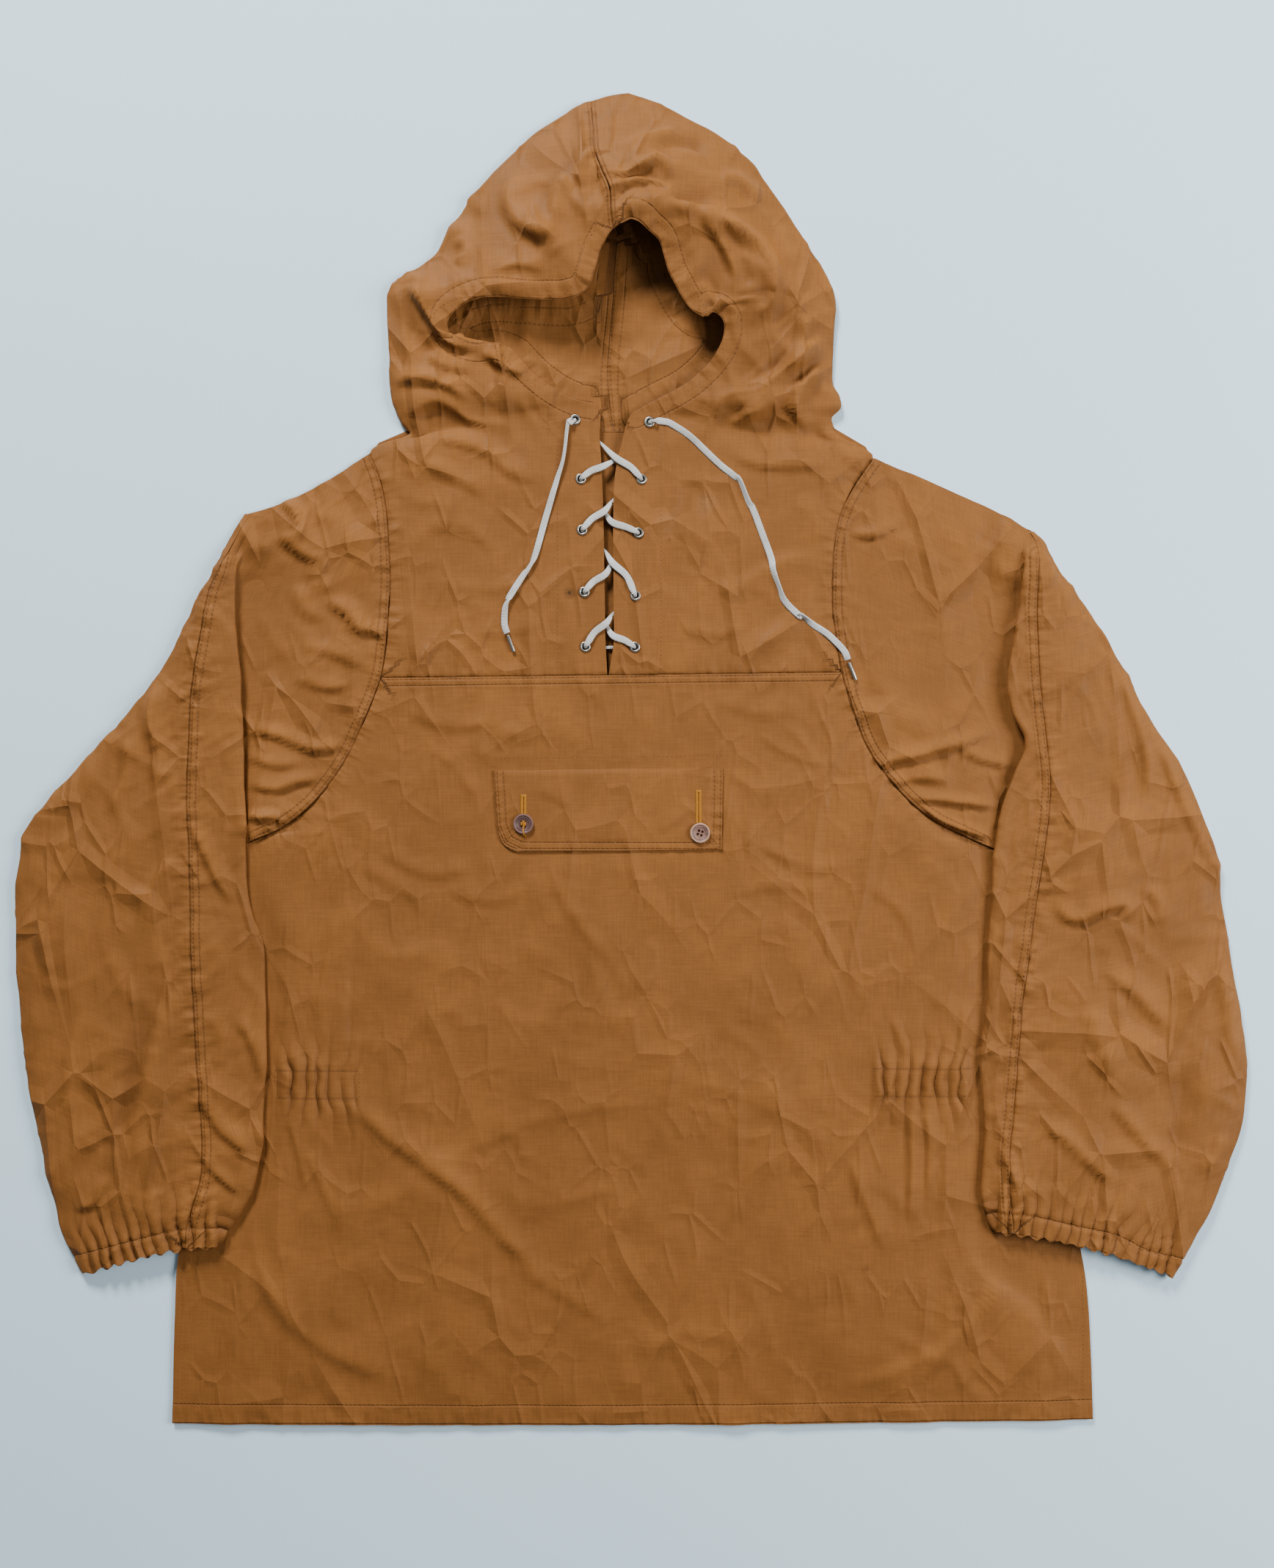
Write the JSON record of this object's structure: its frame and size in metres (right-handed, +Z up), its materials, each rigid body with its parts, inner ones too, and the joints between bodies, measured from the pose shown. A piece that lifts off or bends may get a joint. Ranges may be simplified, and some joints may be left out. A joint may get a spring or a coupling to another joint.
{
  "type": "anorak pullover",
  "caption": "Hooded cotton pullover anorak laid flat, with a laced front slit, a buttoned pocket flap, elastic cuffs and long sleeves at its sides.",
  "frame": {"origin": "on the surface that the garment lies on, under the middle of its box", "axes": "+Z up out of the surface, +Y towards the hood, +X to the right as seen from above"},
  "size_m": [0.903, 0.9768, 0.0382],
  "materials": {
    "cloth": "tightly woven cotton, matt",
    "button": "satin",
    "eyelet": "dull plated",
    "lace": "flat braid",
    "aglet": "dull plated"
  },
  "bodies": {
    "root": {"body_back": "cloth", "front_lower": "cloth", "front_hood_left": "cloth", "front_hood_right": "cloth", "sleeve_left_front": "cloth", "sleeve_left_back": "cloth", "sleeve_right_front": "cloth", "sleeve_right_back": "cloth", "pocket_flap": "cloth", "button_left": "button", "button_right": "button", "eyelet_left_1": "eyelet", "eyelet_left_2": "eyelet", "eyelet_left_3": "eyelet", "eyelet_left_4": "eyelet", "eyelet_left_5": "eyelet", "eyelet_right_1": "eyelet", "eyelet_right_2": "eyelet", "eyelet_right_3": "eyelet", "eyelet_right_4": "eyelet", "eyelet_right_5": "eyelet", "lacing": "lace", "lace_end_left": "lace", "lace_end_right": "lace", "aglet_left": "aglet", "aglet_right": "aglet"}
  },
  "joints": []
}
